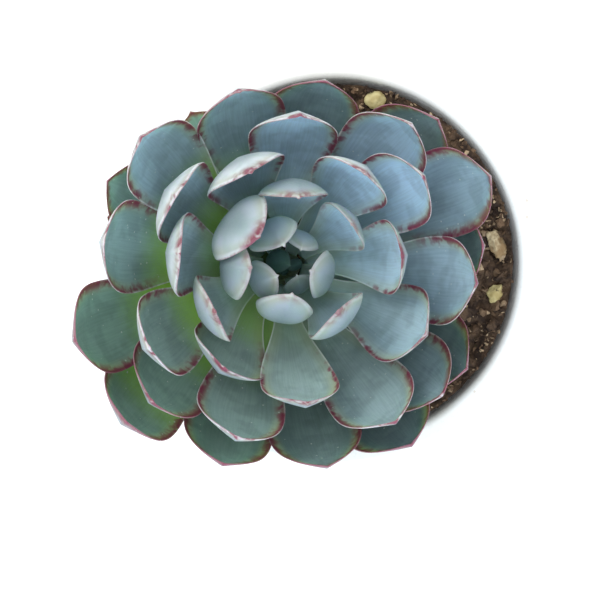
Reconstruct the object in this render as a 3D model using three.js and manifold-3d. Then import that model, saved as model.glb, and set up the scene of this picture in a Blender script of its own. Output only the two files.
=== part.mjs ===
// A potted rosette succulent: a plain tapered pot, its potting mix with a few loose chips on top, and a
// plant whose fleshy leaves stand on a short stem in a golden-angle spiral.
// Millimetres, +Z up, origin at the centre of the pot's base.
import * as THREE from "three";
import { mergeVertices } from "three/addons/utils/BufferGeometryUtils.js";
import Module from "manifold-3d";

const wasm = await Module();
wasm.setup();

// ---- Driving dimensions --------------------------------------------------------------------------------
const DEGREES = Math.PI / 180;
const GAP = 0.3; // left between pieces that touch

const POT = {
  height: 71,
  topRadius: 44,
  baseRadius: 31,
  wall: 3,
  floor: 4,
  lipHeight: 8,
  lipProud: 1.4,
  edge: 1, // rounding of the lip and the base
  segments: 48,
  drain: { count: 5, radius: 3.5, ring: 17 },
};
const MIX = {
  edgeHeight: 67, // where the mix meets the wall
  crown: 1.5, // rise of its middle above its edge
  roughness: 0.7, // height of its lumps
  rings: 7,
  segments: 40,
};
const PLANT = {
  base: [-13.5, -1, 71.5], // where the stem leaves the potting mix
  lean: 6, // degrees from upright
  leanTowards: -10, // degrees from +X, seen from above
  rootDepth: 14,
  rootRadius: 3.2,
};
const ROSETTE = {
  leaves: 50,
  divergence: 137.5, // degrees from one leaf to the next older one
  firstTurn: 239, // direction of the youngest leaf
  crowding: 11, // degrees that the oldest leaves turn towards the light
  crowdingFrom: 49,
  axisHeight: 27.5, // growing tip above the stem's foot
  pitch: 0.55, // drop along the stem from one leaf to the next
  stemRadius: 5.2,
  tipRadius: 1.2,
};
// Shared growth: every value runs from the youngest leaf (number 0) to the oldest.
const GROWTH = {
  start: 1.5, // how far grown the youngest leaf already is, counted in leaves
  width: { full: 20.3, leaves: 11 }, // leaves it takes to come within a third of full size
  budWidth: { less: 1.2, leaves: 2.5 },
  length: { full: 57, leaves: 12 },
  foot: { young: 80, fall: 98, bend: 0.57, lowest: -10 }, // degrees above level at the leaf's foot
  curl: { young: 49, old: 58, bud: 64, leaves: 8 }, // degrees its midline bends upwards
  thickness: { least: 0.9, share: 0.13 }, // share of the width
  neck: { least: 0.8, share: 0.07 },
  stem: 8,
};
// What single leaves do besides the shared growth: degrees of turn, lift and curl, and millimetres longer.
const DEPARTURES = {
  0: { curl: -40 },
  1: { curl: -45, lift: 4 },
  2: { curl: -28, lift: -4 },
  3: { curl: -28, lift: -3 },
  4: { curl: -22, lift: -5 },
  5: { curl: -14, lift: -4, longer: 1 },
  6: { curl: -8, lift: 1 },
  7: { curl: -6 },
  9: { lift: -5, curl: -12 },
  10: { turn: 8 },
  13: { turn: -16, lift: -5, longer: 1 },
  14: { lift: -5 },
  15: { lift: 8, curl: 10, turn: 3, longer: -1 },
  16: { longer: 1, lift: -9, turn: -3 },
  17: { turn: -5 },
  18: { turn: -17 },
  19: { lift: -5 },
  20: { longer: -2, lift: 3, curl: 8, turn: 6 },
  21: { longer: -9, lift: -2, turn: -7 },
  22: { lift: -2, turn: 7 },
  23: { turn: -10, curl: 6 },
  24: { longer: 4, lift: -4, turn: 5 },
  25: { turn: 7, longer: -4 },
  27: { longer: 3 },
  28: { turn: 10, longer: 3, lift: -5 },
  29: { turn: -10 },
  31: { turn: -4, longer: 2 },
  32: { longer: 2 },
  33: { turn: 6, longer: -2, lift: 1 },
  34: { turn: -3 },
  35: { longer: 6, turn: 7 },
  36: { longer: -11, turn: 7, lift: -6, curl: -20 },
  37: { turn: -2, longer: 1 },
  38: { turn: 7, longer: -4 },
  39: { longer: 7, turn: 5 },
  40: { turn: -12 },
  41: { longer: -21, curl: -55, lift: -2 },
  42: { turn: 6 },
  43: { turn: 4, longer: 1 },
  44: { longer: -21, curl: -55, lift: -1 },
  45: { longer: 4 },
  46: { turn: -8, longer: -20, lift: -3, curl: -45 },
  47: { turn: 12, longer: 9, lift: 1 },
  49: { longer: -28, curl: -72, turn: -3, lift: -5 },
};

const grown = (i, { full, leaves }) => full * (1 - Math.exp(-(i + GROWTH.start) / leaves));
function leafSpec(i) {
  const { budWidth, foot, curl, thickness, neck } = GROWTH;
  const own = DEPARTURES[i] ?? {};
  const age = i / (ROSETTE.leaves - 1);
  const turn = ROSETTE.firstTurn + ROSETTE.divergence * i;
  const crowding = ROSETTE.crowding * age * Math.cos((turn - ROSETTE.crowdingFrom) * DEGREES);
  const width = grown(i, GROWTH.width) - budWidth.less * Math.exp(-i / budWidth.leaves);
  const onStem = 1 - Math.exp(-i / GROWTH.stem);
  return {
    turn: turn + crowding + (own.turn ?? 0),
    length: grown(i, GROWTH.length) + (own.longer ?? 0),
    width,
    foot: Math.max(foot.young - foot.fall * age ** foot.bend, foot.lowest) + (own.lift ?? 0),
    curl: curl.young + curl.old * age + curl.bud * Math.exp(-i / curl.leaves) + (own.curl ?? 0),
    thickness: thickness.least + thickness.share * width,
    neck: neck.least + neck.share * width,
    radius: ROSETTE.tipRadius + (ROSETTE.stemRadius - ROSETTE.tipRadius) * onStem,
    height: ROSETTE.axisHeight - ROSETTE.pitch * i,
  };
}

// ---- Materials -----------------------------------------------------------------------------------------
const finish = (color, roughness) => new THREE.MeshStandardMaterial({ color, roughness, metalness: 0 });
const leafFinish = finish(0x7d9a97, 0.6);
const stemFinish = finish(0x8a7a5c, 0.8);
const mixFinish = finish(0x4a2f20, 0.95);
const potFinish = finish(0xf1efe9, 0.35);
const barkFinish = finish(0xc9b48a, 0.85);
const pebbleFinish = finish(0xd9cf9e, 0.7);

// ---- Solids --------------------------------------------------------------------------------------------
function solidOf(geometry) {
  const bare = geometry.clone();
  bare.deleteAttribute("normal");
  bare.deleteAttribute("uv");
  const merged = mergeVertices(bare, 1e-4);
  return new wasm.Manifold(
    new wasm.Mesh({
      numProp: 3,
      vertProperties: new Float32Array(merged.attributes.position.array),
      triVerts: new Uint32Array(merged.index.array),
    }),
  );
}
function geometryOf(solid) {
  const { vertProperties, triVerts } = solid.getMesh();
  const geometry = new THREE.BufferGeometry();
  geometry.setAttribute("position", new THREE.BufferAttribute(vertProperties, 3));
  geometry.setIndex(new THREE.BufferAttribute(triVerts, 1));
  return geometry;
}
// A profile of [radius, height] points, turned about +Z.
function turned(profile, segments) {
  const points = profile.map(([radius, height]) => new THREE.Vector2(radius, height));
  return new THREE.LatheGeometry(points, segments).rotateX(Math.PI / 2);
}
function cylinder(radius, bottom, top, segments) {
  const shape = new THREE.CylinderGeometry(radius, radius, top - bottom, segments);
  return shape.rotateX(Math.PI / 2).translate(0, 0, (top + bottom) / 2);
}
// Closes rings of equal length between two end points into one body.
function loft(first, rings, last) {
  const ring = rings[0].length;
  const points = [first, ...rings.flat(), last];
  const end = points.length - 1;
  const faces = [];
  for (let k = 0; k < ring; k++) {
    const next = (k + 1) % ring;
    faces.push(0, 1 + k, 1 + next);
    for (let r = 0; r < rings.length - 1; r++) {
      const a = 1 + r * ring;
      const b = a + ring;
      faces.push(a + k, b + k, b + next, a + k, b + next, a + next);
    }
    faces.push(end - ring + k, end, end - ring + next);
  }
  const geometry = new THREE.BufferGeometry();
  geometry.setAttribute("position", new THREE.Float32BufferAttribute(points.flat(), 3));
  geometry.setIndex(faces);
  return geometry;
}

// ---- Pot -----------------------------------------------------------------------------------------------
const wallSlope = (POT.topRadius - POT.baseRadius) / POT.height;
const outerRadius = (z) => POT.baseRadius + wallSlope * z;
const innerRadius = (z) => outerRadius(z) - POT.wall;

function makePot() {
  const { height, edge, floor, lipHeight, lipProud, segments, drain } = POT;
  const lipFoot = height - lipHeight;
  const outer = [
    [0, 0],
    [POT.baseRadius - edge, 0],
    [outerRadius(edge), edge],
    [outerRadius(lipFoot - lipProud), lipFoot - lipProud],
    [outerRadius(lipFoot) + lipProud, lipFoot],
    [outerRadius(height - edge) + lipProud, height - edge],
    [outerRadius(height) + lipProud - edge, height],
  ];
  const inner = [
    [innerRadius(height) + edge, height],
    [innerRadius(height - edge), height - edge],
    [innerRadius(floor + 2), floor + 2],
    [innerRadius(floor) - 2, floor],
    [0, floor],
  ];
  let shell = solidOf(turned([...outer, ...inner], segments));
  for (let k = 0; k < drain.count; k++) {
    const angle = (360 * k * DEGREES) / drain.count;
    const hole = cylinder(drain.radius, -1, floor + 1, 20);
    hole.translate(drain.ring * Math.cos(angle), drain.ring * Math.sin(angle), 0);
    shell = shell.subtract(solidOf(hole));
  }
  return geometryOf(shell);
}

// ---- Potting mix ---------------------------------------------------------------------------------------
const mixHeight = (x, y) => {
  const r = Math.hypot(x, y) / innerRadius(MIX.edgeHeight);
  const lumps = Math.sin(x * 0.55 + 1.3 * Math.sin(y * 0.31)) * Math.cos(y * 0.47 + 0.9 * Math.sin(x * 0.23));
  return MIX.edgeHeight + MIX.crown * (1 - r * r) + MIX.roughness * lumps;
};

function makeMix() {
  const bottom = POT.floor + GAP;
  const ringAt = (radius, height) => {
    const ring = [];
    for (let k = 0; k < MIX.segments; k++) {
      const angle = (-2 * Math.PI * k) / MIX.segments;
      const x = radius * Math.cos(angle);
      const y = radius * Math.sin(angle);
      ring.push([x, y, height ?? mixHeight(x, y)]);
    }
    return ring;
  };
  const wallFoot = bottom + 3;
  const brim = MIX.edgeHeight - 3;
  const rings = [
    ringAt(innerRadius(bottom) - 2 - GAP, bottom),
    ringAt(innerRadius(wallFoot) - GAP, wallFoot),
    ringAt(innerRadius(brim) - GAP, brim),
  ];
  for (let r = MIX.rings; r > 0; r--) {
    rings.push(ringAt(((innerRadius(MIX.edgeHeight) - GAP - 0.5) * r) / MIX.rings));
  }
  return solidOf(loft([0, 0, bottom], rings, [0, 0, mixHeight(0, 0)]));
}

// ---- Stem ----------------------------------------------------------------------------------------------
// Its profile widens from the growing tip to the oldest leaf, and narrows again into the root.
function stemProfile(clearance) {
  const points = [[0, -PLANT.rootDepth - clearance]];
  points.push([PLANT.rootRadius * 0.5 + clearance, -PLANT.rootDepth - clearance]);
  points.push([PLANT.rootRadius + clearance, -PLANT.rootDepth * 0.5]);
  points.push([ROSETTE.stemRadius - 0.9 + clearance, -1]);
  for (let i = ROSETTE.leaves - 1; i >= 0; i -= 7) {
    const { radius, height } = leafSpec(i);
    points.push([Math.max(0.25, radius - 0.6) + clearance, height]);
  }
  points.push([0, ROSETTE.axisHeight + 0.4 + clearance]);
  return points;
}

// ---- Leaf ----------------------------------------------------------------------------------------------
// A leaf's midline is an arc from its foot angle; its sections are cupped above and keeled below.
const STATIONS = [0.03, 0.15, 0.34, 0.54, 0.72, 0.86, 0.96];
const SECTION = [-1, -0.5, 0, 0.5, 1, 0.5, 0, -0.5]; // across the upper face, then back under
const WIDEST = 0.7; // part of the length where a leaf is widest
const CUPPING = 0.22; // rise of the margins over half the width
const UPPER_SHARE = 0.2; // part of the thickness above the margins

function halfWidth(s, { width, neck }) {
  if (s <= WIDEST) {
    const t = s / WIDEST;
    return neck + (width / 2 - neck) * (t * t * (3 - 2 * t)) ** 0.9;
  }
  const t = (s - WIDEST) / (1 - WIDEST);
  return (width / 2) * (1 - t ** 2.3) ** 0.72;
}

function makeLeaf(leaf) {
  const bend = leaf.curl * DEGREES;
  const foot = leaf.foot * DEGREES;
  const place = (s, across, rise) => {
    const angle = foot + bend * s;
    const along = (Math.sin(angle) - Math.sin(foot)) / bend;
    const up = (Math.cos(foot) - Math.cos(angle)) / bend;
    return [
      leaf.length * along - rise * Math.sin(angle),
      across,
      leaf.length * up + rise * Math.cos(angle),
    ];
  };
  const rings = STATIONS.map((s) => {
    const half = halfWidth(s, leaf);
    const fullness = 0.5 + 0.5 * Math.sin(Math.PI * Math.min(1, s + 0.2));
    const thick = leaf.thickness * fullness * Math.min(1, (half * 4) / leaf.width + 0.15);
    return SECTION.map((u, k) => {
      const belly = 1 - u * u;
      const upper = k > 0 && k < SECTION.length / 2;
      const share = upper ? UPPER_SHARE : UPPER_SHARE - 1;
      return place(s, half * u, CUPPING * half * u * u + thick * belly * share);
    });
  });
  return loft(place(0, 0, 0), rings, place(1, 0, 0.1));
}

// ---- Loose chips and pebbles on the mix ----------------------------------------------------------------
const CHIPS = [
  { name: "pale_pebble", at: [9, 36], size: [5.2, 4.6, 4], turn: 20, material: pebbleFinish },
  { name: "bark_chip", at: [36, 4], size: [4.6, 7.6, 4.2], turn: 25, material: barkFinish },
  { name: "yellow_chip", at: [35.5, -7], size: [3.8, 5, 3.4], turn: -30, material: pebbleFinish },
];

function makeChip({ at: [x, y], size, turn }) {
  const chip = new THREE.IcosahedronGeometry(0.5, 2);
  const position = chip.attributes.position;
  for (let k = 0; k < position.count; k++) {
    const p = new THREE.Vector3().fromBufferAttribute(position, k);
    const lump = 1 + 0.1 * Math.sin(9 * p.x + x) * Math.cos(8 * p.y - y) + 0.05 * Math.sin(14 * p.z);
    position.setXYZ(k, p.x * lump, p.y * lump, p.z * lump);
  }
  chip.scale(...size).rotateZ(turn * DEGREES);
  return chip.translate(x, y, mixHeight(x, y) + size[2] * 0.28);
}

// ---- Assembly ------------------------------------------------------------------------------------------
const object = new THREE.Group();
function add(parent, name, geometry, material) {
  const mesh = new THREE.Mesh(geometry, material);
  mesh.name = name;
  parent.add(mesh);
  return mesh;
}

const plant = new THREE.Group();
plant.position.set(...PLANT.base);
const towards = PLANT.leanTowards * DEGREES;
const leanAxis = new THREE.Vector3(-Math.sin(towards), Math.cos(towards), 0);
plant.setRotationFromAxisAngle(leanAxis, PLANT.lean * DEGREES);
plant.updateMatrixWorld(true);
object.add(plant);

add(plant, "stem", turned(stemProfile(0), 16), stemFinish);
for (let i = 0; i < ROSETTE.leaves; i++) {
  const leaf = leafSpec(i);
  const whorl = new THREE.Group();
  whorl.rotation.z = leaf.turn * DEGREES;
  plant.add(whorl);
  const mesh = add(whorl, `leaf_${String(i + 1).padStart(2, "0")}`, makeLeaf(leaf), leafFinish);
  mesh.position.set(leaf.radius, 0, leaf.height);
}

// The mix leaves room for the root and for the chips sunk into it.
let mix = makeMix().subtract(solidOf(turned(stemProfile(GAP), 16).applyMatrix4(plant.matrixWorld)));
for (const chip of CHIPS) {
  const bed = makeChip({ ...chip, size: chip.size.map((side) => side + 2 * GAP) });
  mix = mix.subtract(solidOf(bed));
  add(object, chip.name, makeChip(chip), chip.material);
}
add(object, "potting_mix", geometryOf(mix), mixFinish);
add(object, "pot", makePot(), potFinish);

export default object;
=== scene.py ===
"""A rosette succulent in a plain white pot, laid out as a Blender add-on and run as a script."""
import bmesh
import bpy
import math
import random
from mathutils import Matrix, Vector, noise


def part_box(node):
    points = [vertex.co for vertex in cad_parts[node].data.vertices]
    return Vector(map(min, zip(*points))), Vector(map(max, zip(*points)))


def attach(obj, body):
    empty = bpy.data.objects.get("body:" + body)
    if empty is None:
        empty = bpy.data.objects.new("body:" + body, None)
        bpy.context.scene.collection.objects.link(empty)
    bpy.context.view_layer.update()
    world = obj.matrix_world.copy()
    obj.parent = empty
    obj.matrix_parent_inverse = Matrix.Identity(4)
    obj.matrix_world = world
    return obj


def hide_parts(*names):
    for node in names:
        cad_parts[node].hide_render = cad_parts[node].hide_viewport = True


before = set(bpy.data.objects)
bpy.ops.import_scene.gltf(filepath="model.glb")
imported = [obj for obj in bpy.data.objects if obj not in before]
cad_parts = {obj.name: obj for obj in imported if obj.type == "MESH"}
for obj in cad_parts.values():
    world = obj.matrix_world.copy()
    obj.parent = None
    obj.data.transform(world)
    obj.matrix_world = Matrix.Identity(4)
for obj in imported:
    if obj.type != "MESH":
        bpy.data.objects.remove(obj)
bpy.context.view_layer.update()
MM = 0.001
BODY = "root"
LEAVES = sorted(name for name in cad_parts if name.startswith("leaf_"))

bl_info = {
    "name": "Potted Rosette Succulent",
    "version": (1, 0, 0),
    "blender": (4, 5, 0),
    "location": "View3D > Sidebar > Succulent",
    "description": "Finishes a potted rosette succulent round its measured frame",
    "category": "Object",
}


# ---- Settings a user would change ------------------------------------------------------------------------
def colour(name, description, default):
    return bpy.props.FloatVectorProperty(
        name=name, description=description, subtype="COLOR", size=3, min=0, max=1, default=default
    )


def length(name, description, default_mm):
    return bpy.props.FloatProperty(
        name=name, description=description, unit="LENGTH", subtype="DISTANCE", default=default_mm * MM
    )


def factor(name, description, default):
    return bpy.props.FloatProperty(
        name=name, description=description, subtype="FACTOR", min=0, max=1, default=default
    )


def number(name, description, default):
    return bpy.props.FloatProperty(name=name, description=description, default=default)


def whole(name, description, default, least=0):
    return bpy.props.IntProperty(name=name, description=description, default=default, min=least)


class LeafSettings(bpy.types.PropertyGroup):
    rows: whole("Rows", "Sections along one leaf", 42, 12)
    columns: whole("Columns", "Points across the upper face", 21, 9)
    rim: factor("Rim", "How far the side bulges past the ridge, over the thickness", 0.03)
    side: factor("Side", "Height of the leaf's side below the ridge, over the thickness", 0.15)
    cup: factor("Cup", "Rise of the ridge over half the width", 0.2)
    mucro: length("Mucro", "Length of the small point at the tip", 0.5)
    # Partly the blue wax and partly painted light: leaves get more of it by the way they point, where their
    # neighbours shade them.
    bloomed: colour("Bloomed", "Upper face where the blue wax is thick", (0.480, 0.685, 0.950))
    young: colour("Young", "Upper face of the inner leaves under thin wax", (0.300, 0.410, 0.400))
    old: colour("Old", "Upper face of the outer leaves under thin wax", (0.165, 0.235, 0.245))
    old_lit: colour("Old lit", "The same where light comes through from behind", (0.205, 0.335, 0.285))
    # Shown by the way a leaf points, so it is partly pale wax and partly a painted highlight.
    back: colour("Back", "Pale bloom on the sides and backs of grown leaves", (0.84, 0.89, 0.92))
    young_back: colour("Young back", "Backs of the inner leaves", (0.335, 0.395, 0.455))
    # Partly the colour of the young leaves and partly painted shade deep in the middle of the rosette.
    shaded_bud: colour("Bud", "The tiny youngest leaves", (0.050, 0.105, 0.090))
    # On the upper face this green shows mostly as painted light shining through the foot of the lit leaves.
    fresh: colour("Fresh", "Green of the leaf's foot, where the bloom is thin", (0.33, 0.62, 0.07))
    band: colour("Band", "Yellow-green band beside the ridge", (0.42, 0.44, 0.22))
    blush: colour("Blush", "Crimson of the ridge and the mucro", (0.185, 0.011, 0.054))
    dust: colour("Dust", "Pale specks on the outer leaves", (0.62, 0.68, 0.66))


class MixSettings(bpy.types.PropertyGroup):
    grains: number("Grains", "Small grains per square metre", 1100000)
    clumps: number("Clumps", "Larger clumps per square metre", 85000)
    fibres: number("Fibres", "Fibres per square metre", 22000)
    grain: length("Grain", "Radius of a middling grain", 0.40)
    clump: length("Clump", "Radius of a middling clump", 1.35)
    fibre: length("Fibre", "Radius of a fibre", 0.11)
    seed: whole("Seed", "Seed of the scatter", 7)
    dark: colour("Dark", "Moist peat", (0.028, 0.014, 0.008))
    brown: colour("Brown", "Bark and coir", (0.170, 0.100, 0.055))
    straw: colour("Straw", "Pale fibres and grit", (0.66, 0.48, 0.30))


class PotSettings(bpy.types.PropertyGroup):
    wall: length("Wall", "Thickness of the wall", 3.0)
    floor: length("Floor", "Thickness of the floor", 4.0)
    lip: length("Lip", "Height of the lip", 8.0)
    proud: length("Proud", "How far the lip stands out from the wall", 1.4)
    drain: length("Drain", "Radius of a drainage hole", 3.5)
    drain_ring: length("Drain ring", "Radius of the ring of drainage holes", 17.0)
    drains: whole("Drains", "Number of drainage holes", 5)
    taper: number("Taper", "Widening of the wall over its height", 13 / 71)
    segments: whole("Segments", "Steps round the pot", 144, 12)
    glaze: colour("Glaze", "White glaze", (0.87, 0.87, 0.86))
    clay: colour("Clay", "Bare clay under the foot", (0.62, 0.50, 0.38))


class StageSettings(bpy.types.PropertyGroup):
    centre: bpy.props.FloatVectorProperty(
        name="Centre", description="Point that the camera looks straight down on", unit="LENGTH",
        subtype="TRANSLATION", default=(-7.8 * MM, -8.5 * MM, 95 * MM),
    )
    distance: length("Distance", "Camera above that point", 470)
    lens: number("Lens", "Focal length in millimetres", 134)
    floor: colour("Floor", "Plain pale floor", (0.93, 0.93, 0.93))
    key: number("Key", "Power of the window-like light in watts", 4.2)
    fill: number("Fill", "Power of the bluish light opposite, in watts", 3.4)
    overhead: number("Overhead", "Power of the light above, in watts", 1.3)
    sky: number("Sky", "Strength of the light from all round", 1.0)


SETTINGS = {"leaves": LeafSettings, "mix": MixSettings, "pot": PotSettings, "stage": StageSettings}


def settings(part):
    return getattr(bpy.context.scene, f"succulent_{part}")


# ---- Meshes ----------------------------------------------------------------------------------------------
def new_object(name, mesh, material=None):
    piece = bpy.data.objects.new(name, mesh)
    bpy.context.scene.collection.objects.link(piece)
    if material:
        mesh.materials.append(material)
    return piece


def merged_copy(node):
    """A mesh with shared corners, from a frame node's loose triangles."""
    shape = bmesh.new()
    shape.from_mesh(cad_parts[node].data)
    bmesh.ops.remove_doubles(shape, verts=shape.verts, dist=0.01 * MM)
    return shape


def applied(piece):
    """Turns a piece's modifiers into its plain mesh."""
    depsgraph = bpy.context.evaluated_depsgraph_get()
    mesh = bpy.data.meshes.new_from_object(piece.evaluated_get(depsgraph))
    piece.modifiers.clear()
    old = piece.data
    piece.data = mesh
    bpy.data.meshes.remove(old)
    mesh.name = piece.name
    return piece


def smooth(mesh):
    mesh.polygons.foreach_set("use_smooth", [True] * len(mesh.polygons))


def keep(piece, slot, *nodes):
    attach(piece, BODY)
    if nodes:
        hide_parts(*nodes)
    return piece


# ---- Shader building -------------------------------------------------------------------------------------
class Nodes:
    """Adds and joins the nodes of one tree."""

    def __init__(self, tree):
        self.tree = tree

    def add(self, kind, inputs=(), **values):
        node = self.tree.nodes.new(kind)
        for key, value in values.items():
            setattr(node, key, value)
        for key, value in dict(inputs).items():
            self.set(node.inputs[key], value)
        return node

    def set(self, socket, value):
        if isinstance(value, bpy.types.NodeSocket):
            self.tree.links.new(value, socket)
        elif isinstance(value, (tuple, list)) and len(value) == 3 and socket.type == "RGBA":
            socket.default_value = (*value, 1)
        else:
            socket.default_value = value

    def math(self, operation, *values, clamp=False):
        node = self.add("ShaderNodeMath", operation=operation, use_clamp=clamp)
        for socket, value in zip(node.inputs, values):
            self.set(socket, value)
        return node.outputs[0]

    def plus(self, first, second):
        return self.math("ADD", first, second)

    def times(self, first, *others):
        for other in others:
            first = self.math("MULTIPLY", first, other)
        return first

    def ramp(self, value, low, high, out_low=0.0, out_high=1.0):
        """A soft step: as the value goes from low to high, the result goes from out_low to out_high."""
        node = self.add("ShaderNodeMapRange", interpolation_type="SMOOTHSTEP")
        for socket, number in zip(node.inputs, (value, low, high, out_low, out_high)):
            self.set(socket, number)
        return node.outputs[0]

    def mix(self, amount, first, second, blend="MIX"):
        node = self.add("ShaderNodeMix", data_type="RGBA", blend_type=blend, clamp_factor=True)
        self.set(node.inputs[0], amount)
        self.set(node.inputs[6], first)
        self.set(node.inputs[7], second)
        return node.outputs[2]

    def noise(self, vector, scale, detail=3.0, rough=0.55):
        node = self.add("ShaderNodeTexNoise", {"Scale": scale, "Detail": detail, "Roughness": rough})
        self.set(node.inputs["Vector"], vector)
        return node.outputs["Fac"]

    def scaled(self, color, factor):
        grey = self.add("ShaderNodeCombineColor", {0: factor, 1: factor, 2: factor}).outputs[0]
        return self.mix(1.0, color, grey, "MULTIPLY")

    def attribute(self, name):
        return self.add("ShaderNodeAttribute", attribute_name=name).outputs["Fac"]

    def position(self):
        return self.add("ShaderNodeTexCoord").outputs["Object"]

    def bump(self, height, strength, distance):
        node = self.add("ShaderNodeBump", {"Strength": strength, "Distance": distance, "Height": height})
        return node.outputs[0]


def shader_group(name, inputs, outputs, build):
    """A shared effect: named number inputs, and outputs that change over the surface."""
    tree = bpy.data.node_groups.get(name)
    if tree:
        return tree
    tree = bpy.data.node_groups.new(name, "ShaderNodeTree")
    for label, default in inputs.items():
        socket = tree.interface.new_socket(name=label, in_out="INPUT", socket_type="NodeSocketFloat")
        socket.default_value = default
    for label in outputs:
        tree.interface.new_socket(name=label, in_out="OUTPUT", socket_type="NodeSocketFloat")
    nodes = Nodes(tree)
    source = nodes.add("NodeGroupInput")
    results = build(nodes, source.outputs)
    sink = nodes.add("NodeGroupOutput")
    for label, value in results.items():
        nodes.set(sink.inputs[label], value)
    return tree


def place_group(nodes, tree, **values):
    node = nodes.add("ShaderNodeGroup", node_tree=tree)
    for key, value in values.items():
        nodes.set(node.inputs[key.replace("_", " ")], value)
    return node.outputs


def mottle_group():
    """Soft patches with fine grain over them, in object space."""

    def build(nodes, given):
        place = nodes.position()
        patches = nodes.noise(place, given["Patch scale"], 2.0)
        grain = nodes.noise(place, given["Grain scale"], 4.0, 0.65)
        mask = nodes.ramp(patches, 0.36, 0.64)
        height = nodes.plus(nodes.times(patches, 0.6), nodes.times(grain, 0.4))
        return {"Patches": mask, "Grain": grain, "Height": height}

    return shader_group(
        "Mottle", {"Patch scale": 200.0, "Grain scale": 2500.0}, ["Patches", "Grain", "Height"], build
    )


def speck_group():
    """Sparse small specks, such as dust, pores or pinholes, in object space."""

    def build(nodes, given):
        cells = nodes.add("ShaderNodeTexVoronoi", {"Scale": given["Scale"]}, feature="F1")
        nodes.set(cells.inputs["Vector"], nodes.position())
        disc = nodes.math("LESS_THAN", cells.outputs["Distance"], given["Size"])
        pick = nodes.add("ShaderNodeSeparateColor", {"Color": cells.outputs["Color"]}).outputs[0]
        chosen = nodes.math("LESS_THAN", pick, given["Share"])
        return {"Specks": nodes.times(disc, chosen)}

    return shader_group("Specks", {"Scale": 600.0, "Size": 0.2, "Share": 0.2}, ["Specks"], build)


def material(name, roughness=0.5, **sockets):
    """A material with its Principled shader; constant finishes go straight on the shader's sockets."""
    made = bpy.data.materials.new(name)
    made.use_nodes = True
    nodes = Nodes(made.node_tree)
    shader = made.node_tree.nodes["Principled BSDF"]
    shader.inputs["Roughness"].default_value = roughness
    for key, value in sockets.items():
        nodes.set(shader.inputs[key.replace("_", " ")], value)
    return made, nodes, shader.inputs


# ---- Leaves ----------------------------------------------------------------------------------------------
RING_POINTS = 8  # corners round a plain leaf, so the edges that meet at its foot and at its tip
MIDDLE_RING = 3  # the ring halfway along a plain leaf
MIDLINE_DEPTH = 0.2  # how far under the upper face the midline runs, over the thickness
WIDEST = 0.67  # part of the length where a leaf is widest
SHOULDER = 2.1  # how late and how roundly a leaf widens to there
TIP_BEND, TIP_CLOSE = 2.1, 0.76  # how late the edges bend in, and how bluntly they meet
THIN_FOOT = 0.2  # shift of the thickest part towards the foot, over the length
THIN_TIP, TIP_ROUND = 0.2, 0.7  # part of the length that thins out to the tip, and how roundly
TIP_THICKNESS, LEAST_THICKNESS = 0.14, 0.25  # over the full thickness
MOST_BULGE = 0.3  # limit of the side's bulge, over half the width
RIDGE_LIFT, MIDRIB_LIFT = 0.12, 0.06  # of the ridge and of the middle, over the thickness
HOLLOW_SHARE, LIP_SHARE = 0.78, 0.22  # parts of the rise from the even hollow and from the edge's lip
LIP_RUN = 0.25  # how far in the lip fades, over the thickness
KEEL, KEEL_AT_TIP = 0.8, 0.5  # depth below the midline over the thickness, and what the tip adds
ROOF_START, ROOF_RUN = 0.5, 0.4  # where the round back turns into a roof, over the length
BACK_FULLNESS = 0.8  # how full the back's curve is
SIDE_STEPS, UNDER_STEPS = 5, 8  # from the ridge down to the widest line, and from there to the keel
SIDE_LENGTH = 1.1  # length of the side's curve over its height
BUDS, BUD_WIDTH = 2, 0.75  # the youngest leaves, still folded, and their width over the plain one
ROW_CROWDING = 1.35  # how much closer the sections stand at the tip
WAVE, WAVES = 0.02, 9  # height of the face's waves over half the width, and radians along the leaf
RIPPLE, RIPPLES = 0.8, 3.1  # the same across it: height over the waves', and radians in half the width
EDGE_WAVE, EDGE_WAVES = 0.018, 11  # the same in the outline: height over its width, and radians along
EDGE_CALM = 3  # how sharply the outline's waves die out at the tip
MUCRO_RISE = 0.35  # how far the small point turns up, over its length
FIRST_SEED = 100  # seed of the youngest leaf; each older one has the next


def leaf_ends(shape, node, stem_points):
    """The foot and the tip: the farthest two corners where a whole ring of edges meets."""
    ends = [v for v in shape.verts if len(v.link_edges) == RING_POINTS]
    if len(ends) < 2:
        raise RuntimeError(f"{node} has {len(ends)} ends, not 2")
    pair = max(((a, b) for a in ends for b in ends), key=lambda two: (two[0].co - two[1].co).length)
    return sorted(pair, key=lambda v: min((v.co - p).length for p in stem_points))


def leaf_rings(foot):
    """The rings of corners from a leaf's foot to its tip, without the two ends."""
    levels, seen = [[foot]], {foot}
    while True:
        ring = {e.other_vert(v) for v in levels[-1] for e in v.link_edges} - seen
        if not ring:
            return levels[1:-1]
        levels.append(list(ring))
        seen |= ring


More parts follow.
